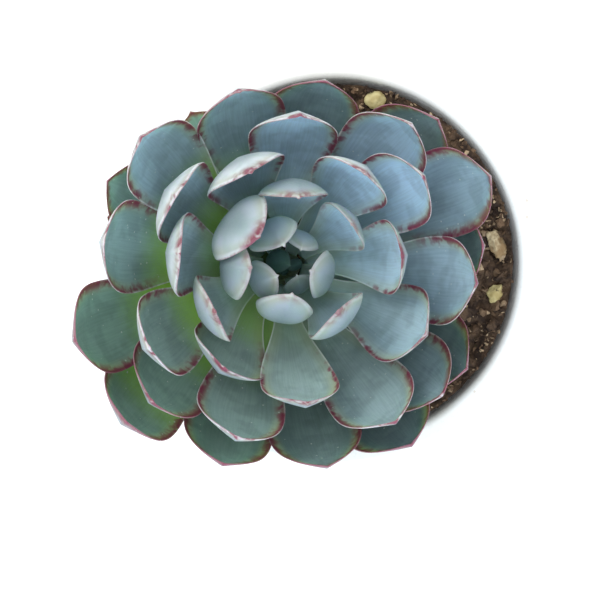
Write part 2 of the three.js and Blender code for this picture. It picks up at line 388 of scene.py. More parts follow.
def leaf_frame(node, stem_points):
    """The leaf's midline arc, half width and thickness, read back from the rings of its plain solid."""
    shape = merged_copy(node)
    ends = leaf_ends(shape, node, stem_points)
    rings = leaf_rings(ends[0])
    foot, tip = (v.co.copy() for v in ends)
    pairs = [max(((a.co - b.co) for a in r for b in r), key=lambda d: d.length) for r in rings]
    across = max(pairs, key=lambda d: d.length).normalized()
    middles, half, thick = [], [], []
    for ring in rings:
        side = sorted(ring, key=lambda v: v.co.dot(across))
        centre = (side[0].co + side[-1].co) / 2
        mids = sorted(ring, key=lambda v: abs((v.co - centre).dot(across)))[:2]
        middles.append([v.co.copy() for v in mids])
        half.append((side[-1].co - side[0].co).dot(across) / 2)
        thick.append((mids[0].co - mids[1].co).length)
    shape.free()
    upper, lower = middles[MIDDLE_RING]
    centre, radius = circle_through(foot, (upper + lower) / 2, tip)
    upper, lower = sorted(middles[MIDDLE_RING], key=lambda p: (p - centre).length)
    middle = upper.lerp(lower, MIDLINE_DEPTH)
    centre, radius = circle_through(foot, middle, tip)
    start = (foot - centre) / radius
    normal = start.cross(middle - centre).normalized()
    forward = normal.cross(start)
    bend = math.atan2((tip - centre).dot(forward), (tip - centre).dot(start)) % (2 * math.pi)
    return {
        "centre": centre, "radius": radius, "start": start, "forward": forward, "across": normal,
        "bend": bend, "length": radius * bend, "half": max(half), "thick": max(thick), "neck": half[0],
    }


def circle_through(a, b, c):
    ab, ac = b - a, c - a
    normal = ab.cross(ac)
    offset = (normal.cross(ab) * ac.length_squared + ac.cross(normal) * ab.length_squared)
    offset /= 2 * normal.length_squared
    return a + offset, offset.length


def leaf_outline(s, half, neck):
    """Half width: a narrow foot, round shoulders, and two straighter edges that meet in a blunt tip."""
    if s <= WIDEST:
        t = s / WIDEST
        return neck + (half - neck) * math.sin(math.pi / 2 * t) ** SHOULDER
    t = (s - WIDEST) / (1 - WIDEST)
    return half * max(0.0, 1 - t**TIP_BEND) ** TIP_CLOSE


def leaf_section(s, spec, options, wobble):
    """Points round one section: (across, rise, distance in from the ridge), all in metres."""
    half = leaf_outline(s, spec["half"], spec["neck"])
    end = min(1.0, (1 - s) / THIN_TIP) ** TIP_ROUND
    body = 0.5 + 0.5 * math.sin(math.pi * min(1, s + THIN_FOOT))
    thick = spec["thick"] * body * (TIP_THICKNESS + (1 - TIP_THICKNESS) * end)
    thick = max(thick, spec["thick"] * LEAST_THICKNESS * end)
    bulge = min(options.rim * thick, half * MOST_BULGE)
    drop = options.side * thick
    ridge = half - bulge
    ridge_rise = options.cup * half + RIDGE_LIFT * thick + wobble
    roof = min(1.0, max(0.0, (s - ROOF_START) / ROOF_RUN))
    keel = -KEEL * thick * (1 + KEEL_AT_TIP * roof)
    points = []
    count = options.columns
    for k in range(count):
        v = 2 * k / (count - 1) - 1
        lip = math.exp(-(1 - abs(v)) * ridge / (LIP_RUN * thick + 1e-6))
        rise = ridge_rise * (HOLLOW_SHARE * v * v + LIP_SHARE * lip) + MIDRIB_LIFT * thick * (1 - v * v)
        points.append((ridge * v, rise, (1 - abs(v)) * ridge))
    belly = ridge_rise - drop
    down_side = drop * SIDE_LENGTH
    side = []
    for k in range(1, SIDE_STEPS + 1):
        a = math.pi / 2 * k / SIDE_STEPS
        side.append((ridge + bulge * math.sin(a), belly + drop * math.cos(a), -down_side * k / SIDE_STEPS))
    for k in range(1, UNDER_STEPS):
        t = k / UNDER_STEPS
        a = math.pi / 2 * t
        inwards = (1 - roof) * (1 - math.cos(a) ** BACK_FULLNESS) + roof * t
        down = (1 - roof) * math.sin(a) + roof * t**BACK_FULLNESS
        side.append((half * (1 - inwards), belly - (belly - keel) * down, -down_side - half * inwards))
    points += side
    points.append((0.0, keel, -down_side - half))
    points += [(-x, z, d) for x, z, d in reversed(side)]
    return points


def leaf_points(spec, rng, options):
    """Every corner of a leaf from foot to mucro, with its place along and its distance from the ridge."""
    phase = [rng.uniform(0, 2 * math.pi) for _ in range(4)]
    wave = WAVE * spec["half"]
    rows = [1 - (1 - k / options.rows) ** ROW_CROWDING for k in range(options.rows)]
    coords, along, ridge_mm = [], [], []

    def put(s, x, rise, distance):
        theta = spec["bend"] * s
        radial = spec["start"] * math.cos(theta) + spec["forward"] * math.sin(theta)
        coords.append(spec["centre"] + radial * (spec["radius"] - rise) + spec["across"] * x)
        along.append(s)
        ridge_mm.append(distance / MM)

    put(0.0, 0.0, 0.0, spec["neck"])
    for s in rows[1:]:
        wobble = wave * math.sin(WAVES * s + phase[0]) * s
        fade = min(1, EDGE_CALM * (1 - s))
        for x, rise, distance in leaf_section(s, spec, options, wobble):
            stretch = 1 + (EDGE_WAVE * math.sin(EDGE_WAVES * s + phase[1 if x > 0 else 2]) * fade)
            ripple = wave * RIPPLE * math.sin(RIPPLES * x / spec["half"] + phase[3]) * s
            put(s, x * stretch, rise + ripple, distance)
    put(1.0 + options.mucro / spec["length"], 0.0, options.mucro * MUCRO_RISE, 0.0)
    return coords, along, ridge_mm


def leaf_faces(ring, sections):
    """A fan at the foot, strips between the sections, and a fan at the mucro."""
    faces = []
    last = ring * sections + 1
    for k in range(ring):
        after = (k + 1) % ring
        faces.append((0, 1 + after, 1 + k))
        for section in range(sections - 1):
            a = 1 + section * ring
            faces.append((a + k, a + after, a + ring + after, a + ring + k))
        faces.append((last - ring + k, last - ring + after, last))
    return faces


def within_one(value):
    return max(0.0, min(1.0, value))


def leaf_tints(index, reach, rng):
    """How old and flushed a leaf is, from its number, and the painted light it gets from the way it points:
    light shining through it from behind, a painted highlight on the pale wax of its back, and painted light
    over the blue wax of its face, fading to painted shade on the oldest leaves.
    """
    age = index / (len(LEAVES) - 1)
    return {
        "age": age,
        # Painted light: old leaves pointing towards the light are shown lit through from behind.
        "warmth": within_one(1.8 * age * (0.35 - reach.x)),
        "flush": rng.uniform(0.2, 1.0) * min(1, 0.35 + 1.6 * age),
        # Painted highlight: the pale back shows most on leaves that point towards the light.
        "frost": within_one(0.42 + 0.8 * reach.y - 0.4 * reach.x) * (1 - 0.5 * age**2),
        # Painted light on the face by the way the leaf points, fading to painted shade on the oldest
        # leaves.
        "bloom": within_one(0.32 + 0.62 * reach.y + 0.24 * reach.x) * max(0.0, 1 - 2.2 * age**4),
    }


def leaf_mesh(node, index, stem_points, options):
    spec = leaf_frame(node, stem_points)
    if index < BUDS:
        spec["half"] *= BUD_WIDTH
    rng = random.Random(FIRST_SEED + index)
    coords, along, ridge_mm = leaf_points(spec, rng, options)
    ring = options.columns + 2 * (SIDE_STEPS + UNDER_STEPS - 1) + 1
    mesh = bpy.data.meshes.new(node)
    mesh.from_pydata([tuple(c) for c in coords], [], leaf_faces(ring, options.rows - 1))
    shape = bmesh.new()
    shape.from_mesh(mesh)
    bmesh.ops.recalc_face_normals(shape, faces=shape.faces)
    shape.to_mesh(mesh)
    shape.free()
    attributes = {"along": along, "ridge_mm": ridge_mm}
    for name, value in leaf_tints(index, (coords[-1] - coords[0]).normalized(), rng).items():
        attributes[name] = [value] * len(along)
    for name, values in attributes.items():
        mesh.attributes.new(name, "FLOAT", "POINT").data.foreach_set("value", values)
    leaf_uv(mesh, ring, along)
    smooth(mesh)
    return mesh


def leaf_uv(mesh, ring, along):
    """U runs once round the section and V along the leaf, with the last column closed at U = 1."""
    layer = mesh.uv_layers.new(name="leaf")
    last = len(along) - 1
    for face in mesh.polygons:
        columns = [(i - 1) % ring for i in face.vertices if 0 < i < last]
        wraps = max(columns) - min(columns) > ring / 2
        middle = sum(c + (ring if wraps and c < ring / 2 else 0) for c in columns) / len(columns)
        for loop in face.loop_indices:
            i = mesh.loops[loop].vertex_index
            if 0 < i < last:
                c = (i - 1) % ring
                u = (c + (ring if wraps and c < ring / 2 else 0)) / ring
            else:
                u = middle / ring
            layer.data[loop].uv = (u, min(1.0, along[i]))


# What each leaf's corners carry; "ridge_mm" is the distance in from the ridge, negative down the back.
LEAF_ATTRIBUTES = ("along", "ridge_mm", "age", "warmth", "flush", "frost", "bloom")


def leaf_face(nodes, options, given, mottle):
    """The upper face: wax over green, streaked along, with painted shade towards the foot, painted light on
    the inner leaves and by the way each leaf points, a green foot that shows mostly as painted light
    shining through the lit leaves, and an olive band by the ridge.
    """
    age, along, warmth = given["age"], given["along"], given["warmth"]
    outer = nodes.mix(warmth, tuple(options.old), tuple(options.old_lit))
    face = nodes.mix(nodes.ramp(age, 0.2, 0.85), tuple(options.young), outer)
    # Painted light: lighter, bluer wax on the leaves by the way they point.
    face = nodes.mix(given["bloom"], face, tuple(options.bloomed))
    patchy = nodes.ramp(mottle["Patches"], 0.0, 1.0, 0.9, 1.1)
    # Painted shade: the face is darker towards the foot, deep in the rosette.
    shaded_foot = nodes.ramp(along, 0.35, 0.85, 0.8, 1.08)
    # Painted light: the inner leaves are made lighter where the leaves round them shade them.
    lit_inner = nodes.ramp(age, 0.1, 0.5, 1.18, 0.98)
    streaky = nodes.ramp(given["streaks"], 0.3, 0.7, 0.92, 1.06)
    face = nodes.scaled(face, nodes.times(patchy, shaded_foot, lit_inner, streaky))

    # Painted light: on the oldest lit leaves the green foot reaches farther.
    lit_through = nodes.times(warmth, nodes.ramp(age, 0.9, 0.96, 0.0, 0.18))
    foot_end = nodes.plus(nodes.ramp(warmth, 0.0, 1.0, 0.24, 0.41), lit_through)
    uneven_end = nodes.plus(foot_end, nodes.times(mottle["Grain"], 0.08))
    foot = nodes.ramp(nodes.math("SUBTRACT", uneven_end, along), -0.14, 0.14)
    # Painted light: the green foot shows mostly on leaves lit through from behind.
    green = nodes.times(foot, nodes.ramp(warmth, 0.0, 0.8, 0.1, 1.0), 0.9)
    face = nodes.mix(green, face, tuple(options.fresh))

    beside_ridge = nodes.ramp(given["near"], 3.2, 0.4)
    banded = nodes.times(beside_ridge, nodes.ramp(along, 0.5, 0.9, 0.25, 0.85))
    return nodes.mix(banded, face, tuple(options.band))


def leaf_back(nodes, options, given, mottle):
    """The side and back: pale wax on grown leaves, shown as a painted highlight mostly on the leaves that
    point towards the light, green at the foot and darker towards the keel.
    """
    # Painted highlight: pale wax on the back mostly where the leaf points towards the light.
    lit_frost_mask = nodes.times(nodes.ramp(given["age"], 0.24, 0.38), given["frost"])
    back = nodes.mix(lit_frost_mask, tuple(options.young_back), tuple(options.back))
    below_ridge = nodes.ramp(given["near"], -3.2, -0.8, 0.0, 0.4)
    back = nodes.mix(below_ridge, back, tuple(options.band))
    at_foot = nodes.ramp(given["along"], 0.75, 0.3, 0.0, 0.6)
    back = nodes.mix(at_foot, back, tuple(options.fresh))
    back = nodes.mix(nodes.times(mottle["Patches"], 0.45), back, tuple(options.young))
    to_keel = nodes.ramp(given["ridge_mm"], -2.0, -7.0, 0.0, 0.7)
    return nodes.mix(to_keel, back, tuple(options.old))


def leaf_blush(nodes, given):
    """How crimson the leaf is: a broken line along the ridge, and a stain round the tip."""
    age, along, near = given["age"], given["along"], given["near"]
    blotches = nodes.ramp(nodes.noise(nodes.position(), 420.0, 2.0), 0.36, 0.62)
    reach = nodes.plus(nodes.plus(along, nodes.times(blotches, 0.16)), nodes.times(given["flush"], 0.18))
    to_tip = nodes.ramp(reach, 0.56, 0.88)
    widening = nodes.ramp(along, 0.7, 0.97, 1.7, 2.9)
    width = nodes.times(widening, nodes.ramp(blotches, 0.0, 1.0, 0.7, 1.15))
    across = nodes.math("DIVIDE", near, width)
    inside = nodes.ramp(across, nodes.ramp(age, 0.25, 0.65, 0.6, 1.35), 0.2)
    outside = nodes.ramp(across, nodes.ramp(age, 0.6, 0.85, -0.3, -2.2), 0.1)
    line = nodes.times(inside, outside, to_tip)

    at_tip = nodes.ramp(along, 0.86, 0.985, 0.0, 0.85)
    down_back, off_face = nodes.ramp(near, -4.5, -0.3), nodes.ramp(near, 0.8, 0.2)
    stain = nodes.times(nodes.plus(blotches, 0.35), at_tip, down_back, off_face)
    blush = nodes.math("MAXIMUM", line, stain, clamp=True)
    return nodes.times(blush, nodes.ramp(age, 0.05, 0.3, 0.1, 1.0))


def leaf_material(options):
    """Waxy blue-grey leaf: olive band, crimson line, pale side with a painted highlight, painted light and
    shade on the faces, a dark heart partly painted shade, and a green translucent foot with painted light
    shining through it.
    """
    made, nodes, shader = material(
        "leaf", 0.5, Subsurface_Weight=0.22, Subsurface_Scale=0.003, Specular_IOR_Level=0.35,
    )
    shader["Subsurface Radius"].default_value = (0.6, 1.0, 0.4)
    mottle = place_group(nodes, mottle_group(), Patch_scale=170.0, Grain_scale=1500.0)
    given = {name: nodes.attribute(name) for name in LEAF_ATTRIBUTES}
    age, ridge = given["age"], given["ridge_mm"]
    wander = nodes.times(nodes.math("SUBTRACT", mottle["Grain"], 0.5), 0.5)
    given["near"] = nodes.plus(ridge, wander)
    uv = nodes.add("ShaderNodeUVMap", uv_map="leaf").outputs[0]
    lengthwise = nodes.add("ShaderNodeMapping", {"Vector": uv, "Scale": (90, 5, 1)}).outputs[0]
    given["streaks"] = nodes.noise(lengthwise, 1.0, 3.0)

    face = leaf_face(nodes, options, given, mottle)
    back = leaf_back(nodes, options, given, mottle)
    surface = nodes.mix(nodes.ramp(ridge, 0.1, -0.1), face, back)
    rim = nodes.times(nodes.ramp(ridge, 0.35, 0.1), nodes.ramp(ridge, -1.2, -0.6))
    pale_rim = nodes.times(rim, nodes.ramp(age, 0.2, 0.5, 0.2, 0.65))
    surface = nodes.mix(pale_rim, surface, tuple(options.back))
    # Partly painted shade: the youngest leaves, deep in the middle, are made dark.
    surface = nodes.mix(nodes.ramp(age, 0.075, 0.045), surface, tuple(options.shaded_bud))
    surface = nodes.mix(nodes.times(leaf_blush(nodes, given), 0.94), surface, tuple(options.blush))
    specks = place_group(nodes, speck_group(), Scale=900.0, Size=0.17, Share=0.12)["Specks"]
    dusty = nodes.times(specks, nodes.ramp(age, 0.3, 0.7, 0.1, 0.7))
    nodes.set(shader["Base Color"], nodes.mix(dusty, surface, tuple(options.dust)))
    nodes.set(shader["Roughness"], nodes.ramp(mottle["Grain"], 0.3, 0.7, 0.45, 0.62))
    relief = nodes.plus(nodes.times(given["streaks"], 0.6), mottle["Height"])
    nodes.set(shader["Normal"], nodes.bump(relief, 0.22, 0.0002))
    return made


class SUCCULENT_OT_leaves(bpy.types.Operator):
    """Makes every leaf as a cupped, rimmed solid along the midline of its plain solid"""

    bl_idname = "succulent.leaves"
    bl_label = "Leaves"

    def execute(self, context):
        options = settings("leaves")
        stem = merged_copy("stem")
        stem_points = [v.co.copy() for v in stem.verts]
        stem.free()
        finish = leaf_material(options)
        for index, node in enumerate(LEAVES):
            mesh = leaf_mesh(node, index, stem_points, options)
            keep(new_object(f"{node}_fine", mesh, finish), "leaf", node)
        return {"FINISHED"}


# ---- Stem ------------------------------------------------------------------------------------------------
WORN_STEPS = 2  # times that the stem and the chips are subdivided before they are worn
WEAR_NOISE = (0.8, 2.1, 4)  # falloff, step in scale and number of octaves
CORK_LUMPS, CHIP_LUMPS = 420, 700  # lumps per metre


def roughened(node, amount, scale, finish):
    """A frame node's shape, subdivided and worn by noise that never carries it outside its own box."""
    name = f"{node}_fine"
    shape = merged_copy(node)
    mesh = bpy.data.meshes.new(name)
    shape.to_mesh(mesh)
    shape.free()
    piece = new_object(name, mesh, finish)
    fine = piece.modifiers.new("fine", "SUBSURF")
    fine.levels = fine.render_levels = WORN_STEPS
    applied(piece)
    normals = [v.normal.copy() for v in piece.data.vertices]
    for vertex, normal in zip(piece.data.vertices, normals):
        lump = noise.fractal(vertex.co * scale, *WEAR_NOISE)
        vertex.co -= normal * amount * (0.5 + 0.5 * lump)
    smooth(piece.data)
    return piece


def rough_material(name, pale, dark, patch_scale, roughness=0.85):
    """A dull, pored finish in two colours, for cork, bark and stone."""
    made, nodes, shader = material(name, roughness)
    mottle = place_group(nodes, mottle_group(), Patch_scale=patch_scale, Grain_scale=patch_scale * 9)
    pores = place_group(nodes, speck_group(), Scale=patch_scale * 5, Size=0.3, Share=0.35)["Specks"]
    tone = nodes.mix(mottle["Patches"], pale, dark)
    tone = nodes.mix(nodes.times(mottle["Grain"], 0.4), tone, dark)
    nodes.set(shader["Base Color"], nodes.mix(nodes.times(pores, 0.5), tone, dark))
    nodes.set(shader["Normal"], nodes.bump(mottle["Height"], 0.6, 0.0004))
    return made


class SUCCULENT_OT_stem(bpy.types.Operator):
    """Makes the short corky stem under the leaves"""

    bl_idname = "succulent.stem"
    bl_label = "Stem"

    def execute(self, context):
        green_cork, dark_cork = (0.13, 0.17, 0.08), (0.06, 0.065, 0.035)
        finish = rough_material("stem", green_cork, dark_cork, 260.0)
        keep(roughened("stem", 0.5 * MM, CORK_LUMPS, finish), "stem", "stem")
        return {"FINISHED"}


# ---- Chips -----------------------------------------------------------------------------------------------
class SUCCULENT_OT_chips(bpy.types.Operator):
    """Makes the pebble and the two chips that lie on the potting mix"""

    bl_idname = "succulent.chips"
    bl_label = "Chips and Pebble"

    def execute(self, context):
        pale_stone, ochre = (0.66, 0.58, 0.30), (0.40, 0.31, 0.12)
        pale_wood, brown_wood = (0.66, 0.54, 0.34), (0.30, 0.19, 0.09)
        pebble = rough_material("pebble", pale_stone, ochre, 330.0, 0.6)
        bark = rough_material("bark", pale_wood, brown_wood, 400.0)
        for node, slot, finish, wear in (
            ("pale_pebble", "pebble", pebble, 0.25), ("yellow_chip", "pebble", pebble, 0.6),
            ("bark_chip", "bark", bark, 0.9),
        ):
            keep(roughened(node, wear * MM, CHIP_LUMPS, finish), slot, node)
        return {"FINISHED"}


# ---- Potting mix -----------------------------------------------------------------------------------------
MIX_STEPS = 3  # times that the mix's surface is subdivided
ROUGH_DEPTH, ROUGH_FADE = 12 * MM, 8 * MM  # how deep the lumps go, and over what depth they fade
LUMP_HEIGHT, MIX_LUMPS = 0.9 * MM, 260  # height of the lumps, and how many in a metre
MIX_NOISE = (0.7, 2.2, 4)  # falloff, step in scale and number of octaves
BANK_START, BANK_RUN, BANK_HEIGHT = 0.91, 0.09, 2.8 * MM  # mix pushed up against the wall, over the radius
STREWN_DEPTH = 9 * MM  # how far below the top grains may lie
UPWARD = 0.3  # least upward part of the normal where they may lie
GRIT_WEAR = 0.0024  # how far the noise may push a grain's or clump's corner, in metres
FIBRE_BEND, FIBRE_ARC = 0.006, 1.3  # radius in metres and angle of a fibre's arc
FULL_TURN = 2 * math.pi


def mix_surface(name):
    """The mix's own shape, with its top subdivided and roughened."""
    shape = merged_copy("potting_mix")
    brim, _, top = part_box("potting_mix")[1]
    mesh = bpy.data.meshes.new(name)
    shape.to_mesh(mesh)
    shape.free()
    piece = new_object(name, mesh)
    fine = piece.modifiers.new("fine", "SUBSURF")
    fine.subdivision_type = "SIMPLE"
    fine.levels = fine.render_levels = MIX_STEPS
    applied(piece)
    for vertex in piece.data.vertices:
        if vertex.co.z > top - ROUGH_DEPTH:
            lump = noise.fractal(vertex.co * MIX_LUMPS, *MIX_NOISE)
            banked = max(0.0, vertex.co.xy.length / brim - BANK_START) / BANK_RUN
            vertex.co.z += LUMP_HEIGHT * lump * min(1, (vertex.co.z - top + ROUGH_DEPTH) / ROUGH_FADE)
            vertex.co.z += BANK_HEIGHT * banked
    return piece


class Scatter:
    """Strews instances over the top of the potting mix, inside one geometry tree."""

    def __init__(self, nodes, given):
        self.nodes = nodes
        self.given = given
        _, _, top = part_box("potting_mix")[1]
        normal = nodes.add("GeometryNodeInputNormal").outputs[0]
        upward = nodes.add("ShaderNodeSeparateXYZ", {0: normal}).outputs[2]
        place = nodes.add("GeometryNodeInputPosition").outputs[0]
        x, y, z = nodes.add("ShaderNodeSeparateXYZ", {0: place}).outputs
        high = nodes.math("GREATER_THAN", z, top - STREWN_DEPTH)
        self.top = nodes.times(nodes.math("GREATER_THAN", upward, UPWARD), high)
        self.from_middle = nodes.math("POWER", nodes.plus(nodes.times(x, x), nodes.times(y, y)), 0.5)

    def seed(self, offset):
        return self.nodes.plus(self.given["Seed"], float(offset))

    def random(self, kind, low, high, offset):
        node = self.nodes.add("FunctionNodeRandomValue", data_type=kind)
        least, most, result = {"FLOAT": (2, 3, 1), "FLOAT_VECTOR": (0, 1, 0)}[kind]
        self.nodes.set(node.inputs[least], low)
        self.nodes.set(node.inputs[most], high)
        self.nodes.set(node.inputs["Seed"], self.seed(offset))
        return node.outputs[result]

    def strew(self, label, shape, seed, sizes, turns, tones, clear):
        """Sizes, turns and tones are (least, most); clear is the room left to the wall."""
        nodes = self.nodes
        points = nodes.add("GeometryNodeDistributePointsOnFaces", distribute_method="RANDOM")
        within = nodes.math("LESS_THAN", self.from_middle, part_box("potting_mix")[1].x - clear)
        nodes.set(points.inputs["Mesh"], self.given["Surface"])
        nodes.set(points.inputs["Selection"], nodes.times(self.top, within))
        nodes.set(points.inputs["Density"], self.given[label])
        nodes.set(points.inputs["Seed"], self.seed(seed))
        placed = nodes.add("GeometryNodeInstanceOnPoints", {
            "Points": points.outputs["Points"], "Instance": shape,
            "Rotation": self.random("FLOAT_VECTOR", *turns, seed + 2),
            "Scale": self.random("FLOAT_VECTOR", *sizes, seed + 1),
        })
        toned = nodes.add("GeometryNodeStoreNamedAttribute", data_type="FLOAT", domain="INSTANCE")
        nodes.set(toned.inputs["Geometry"], placed.outputs[0])
        nodes.set(toned.inputs["Name"], "tone")
        nodes.set(toned.inputs["Value"], self.random("FLOAT", *tones, seed + 3))
        return toned.outputs[0]


def ball(nodes, radius, steps):
    return nodes.add("GeometryNodeMeshIcoSphere", {"Radius": radius, "Subdivisions": steps}).outputs[0]


def fibre_shape(nodes, radius):
    arc = nodes.add(
        "GeometryNodeCurveArc", {"Resolution": 7, "Radius": FIBRE_BEND, "Sweep Angle": FIBRE_ARC}
    ).outputs[0]
    thread = nodes.add("GeometryNodeCurvePrimitiveCircle", {"Resolution": 5, "Radius": radius}).outputs[0]
    return nodes.add(
        "GeometryNodeCurveToMesh", {"Curve": arc, "Profile Curve": thread, "Fill Caps": True}
    ).outputs[0]


def scatter_tree(finish):
    """Grains, clumps and fibres scattered on the upward faces of a surface."""
    tree = bpy.data.node_groups.new("Potting mix scatter", "GeometryNodeTree")
    tree.interface.new_socket(name="Surface", in_out="INPUT", socket_type="NodeSocketGeometry")
    numbers = {}
    for label in ("Grains", "Clumps", "Fibres", "Grain radius", "Clump radius", "Fibre radius"):
        numbers[label] = tree.interface.new_socket(
            name=label, in_out="INPUT", socket_type="NodeSocketFloat"
        )
    numbers["Seed"] = tree.interface.new_socket(name="Seed", in_out="INPUT", socket_type="NodeSocketInt")
    tree.interface.new_socket(name="Mix", in_out="OUTPUT", socket_type="NodeSocketGeometry")
    nodes = Nodes(tree)
    given = nodes.add("NodeGroupInput").outputs
    scatter = Scatter(nodes, given)

    any_way = ((0, 0, 0), (FULL_TURN,) * 3)
    lying = ((-0.35, -0.35, 0), (0.35, 0.35, FULL_TURN))
    grains = scatter.strew(
        "Grains", ball(nodes, given["Grain radius"], 1), 10, ((0.4, 0.4, 0.35), (1.7, 1.5, 1.2)),
        any_way, (0.0, 1.0), 0.1 * MM,
    )
    clumps = scatter.strew(
        "Clumps", ball(nodes, given["Clump radius"], 2), 20, ((0.5, 0.45, 0.4), (1.4, 1.1, 0.9)),
        any_way, (0.0, 0.9), 0.8 * MM,
    )
    fibres = scatter.strew(
        "Fibres", fibre_shape(nodes, given["Fibre radius"]), 30, ((0.4, 0.3, 0.8), (1.2, 1.1, 1.4)),
        lying, (0.9, 1.4), 7.0 * MM,
    )

    loose = nodes.add("GeometryNodeJoinGeometry")
    for part in (clumps, grains):
        tree.links.new(part, loose.inputs[0])
    grit = nodes.add("GeometryNodeRealizeInstances", {0: loose.outputs[0]}).outputs[0]
    rough = nodes.add("ShaderNodeTexNoise", {"Scale": 900.0, "Detail": 2.0})
    nodes.set(rough.inputs["Vector"], nodes.add("GeometryNodeInputPosition").outputs[0])
    middling = {0: rough.outputs["Color"], 1: (0.5, 0.5, 0.5)}
    shift = nodes.add("ShaderNodeVectorMath", middling, operation="SUBTRACT").outputs[0]
    shift = nodes.add("ShaderNodeVectorMath", {0: shift, "Scale": GRIT_WEAR}, operation="SCALE").outputs[0]
    worn = nodes.add("GeometryNodeSetPosition", {"Geometry": grit, "Offset": shift}).outputs[0]
    everything = nodes.add("GeometryNodeJoinGeometry")
    for part in (fibres, worn, given["Surface"]):
        tree.links.new(part, everything.inputs[0])
    whole_mix = nodes.add("GeometryNodeRealizeInstances", {0: everything.outputs[0]}).outputs[0]
    done = nodes.add("GeometryNodeSetMaterial", {"Geometry": whole_mix, "Material": finish}).outputs[0]
    nodes.set(nodes.add("NodeGroupOutput").inputs[0], done)
    return tree, numbers


def mix_material(options):
    """Damp peat with bark, coir and pale grit, told apart by each crumb's tone."""
    made, nodes, shader = material("potting_mix", 0.9)
    tone = nodes.attribute("tone")
    mottle = place_group(nodes, mottle_group(), Patch_scale=330.0, Grain_scale=2200.0)
    dark, brown, straw = tuple(options.dark), tuple(options.brown), tuple(options.straw)
    surface = nodes.mix(nodes.times(mottle["Patches"], 0.6), dark, brown)
    surface = nodes.mix(nodes.ramp(tone, 0.4, 0.75), surface, brown)
    surface = nodes.mix(nodes.ramp(tone, 0.74, 0.98), surface, straw)
    surface = nodes.mix(nodes.times(mottle["Grain"], 0.35), surface, dark)
    nodes.set(shader["Base Color"], surface)
    nodes.set(shader["Normal"], nodes.bump(mottle["Height"], 0.8, 0.0006))
    return made


class SUCCULENT_OT_mix(bpy.types.Operator):
    """Makes the potting mix: its lumpy surface with grains, clumps and fibres on it"""

    bl_idname = "succulent.mix"
    bl_label = "Potting Mix"

    def execute(self, context):
        options = settings("mix")
        piece = mix_surface("potting_mix_fine")
        finish = mix_material(options)
        tree, numbers = scatter_tree(finish)
        scatter = piece.modifiers.new("scatter", "NODES")
        scatter.node_group = tree
        values = {
            "Grains": options.grains, "Clumps": options.clumps, "Fibres": options.fibres,
            "Grain radius": options.grain, "Clump radius": options.clump, "Fibre radius": options.fibre,
            "Seed": options.seed,
        }
        for label, value in values.items():
            scatter[numbers[label].identifier] = value
        applied(piece)
        keep(piece, "potting_mix", "potting_mix")
        return {"FINISHED"}


# ---- Pot -------------------------------------------------------------------------------------------------
CORNER_STEPS = 5  # steps round each rounded corner of the pot
SHOULDER_DROP, LIP_UNDERCUT = 1.6 * MM, 0.4 * MM  # from the wall out to the underside of the lip
FOOT_RING, FOOT_INSET = 8 * MM, 0.2 * MM  # width of the foot that stands on the floor, and its inset
FLOOR_NARROWING = 0.4 * MM  # extra thickness of the wall at the inner floor
BORE_STEPS, BORE_DEPTH, BORE_MIDDLE = 40, 12 * MM, 1 * MM
CREASE = math.radians(40)  # edges sharper than this stay sharp


def pot_profile(options):
    """Radius and height of the wall's section, out over the lip and down the inside, with round corners."""
    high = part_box("pot")[1]
    height = high.z
    slope = options.taper
    top = high.x - options.proud
    base = top - slope * height
    lip_foot = height - options.lip
    shoulder = lip_foot - SHOULDER_DROP
    inner_foot = base + slope * options.floor - options.wall - FLOOR_NARROWING
    corners = [  # radius, height and rounding in millimetres
        (base - FOOT_RING, 0, 0),
        (base - FOOT_INSET, 0, 1.0),
        (base + slope * shoulder, shoulder, 0.9),
        (base + slope * lip_foot + options.proud, lip_foot + LIP_UNDERCUT, 0.7),
        (high.x, height, 1.3),
        (top - options.wall, height, 1.3),
        (inner_foot, options.floor, 3.0),
    ]
    return [(0, 0), *rounded(corners), (0, options.floor)]


def rounded(corners):
    """Replaces each corner, given as radius, height and rounding in millimetres, by a short curve."""
    points = []
    for k, (x, z, size) in enumerate(corners):
        if not size:
            points.append((x, z))
            continue
        here = Vector((x, z))
        before = Vector(corners[k - 1][:2])
        after = Vector(corners[k + 1][:2]) if k + 1 < len(corners) else Vector((0, z))
        start = here + (before - here).normalized() * size * MM
        end = here + (after - here).normalized() * size * MM
        for step in range(CORNER_STEPS + 1):
            t = step / CORNER_STEPS
            point = start * (1 - t) ** 2 + here * 2 * t * (1 - t) + end * t * t
            points.append((point.x, point.y))
    return points


def pot_material(options):
    """Slightly uneven white glaze with a few pinholes, and a bare clay foot."""
    made, nodes, shader = material("pot_glaze", 0.3, Coat_Weight=0.35, Coat_Roughness=0.12)
    mottle = place_group(nodes, mottle_group(), Patch_scale=45.0, Grain_scale=420.0)
    pinholes = place_group(nodes, speck_group(), Scale=260.0, Size=0.1, Share=0.06)["Specks"]
    warm = tuple(c * f for c, f in zip(options.glaze, (0.97, 0.95, 0.90)))
    surface = nodes.mix(mottle["Patches"], tuple(options.glaze), warm)
    surface = nodes.mix(nodes.times(pinholes, 0.6), surface, tuple(options.clay))
    height = nodes.add("ShaderNodeSeparateXYZ", {0: nodes.position()}).outputs[2]
    glaze_edge = nodes.plus(height, nodes.times(mottle["Patches"], 0.0004))
    bare = nodes.ramp(glaze_edge, 0.0011, 0.0007)
    surface = nodes.mix(bare, surface, tuple(options.clay))
    nodes.set(shader["Base Color"], surface)
    gloss = nodes.ramp(mottle["Grain"], 0.3, 0.7, 0.24, 0.34)
    nodes.set(shader["Roughness"], nodes.plus(gloss, nodes.times(bare, 0.5)))
    nodes.set(shader["Normal"], nodes.bump(mottle["Height"], 0.15, 0.0008))
    return made


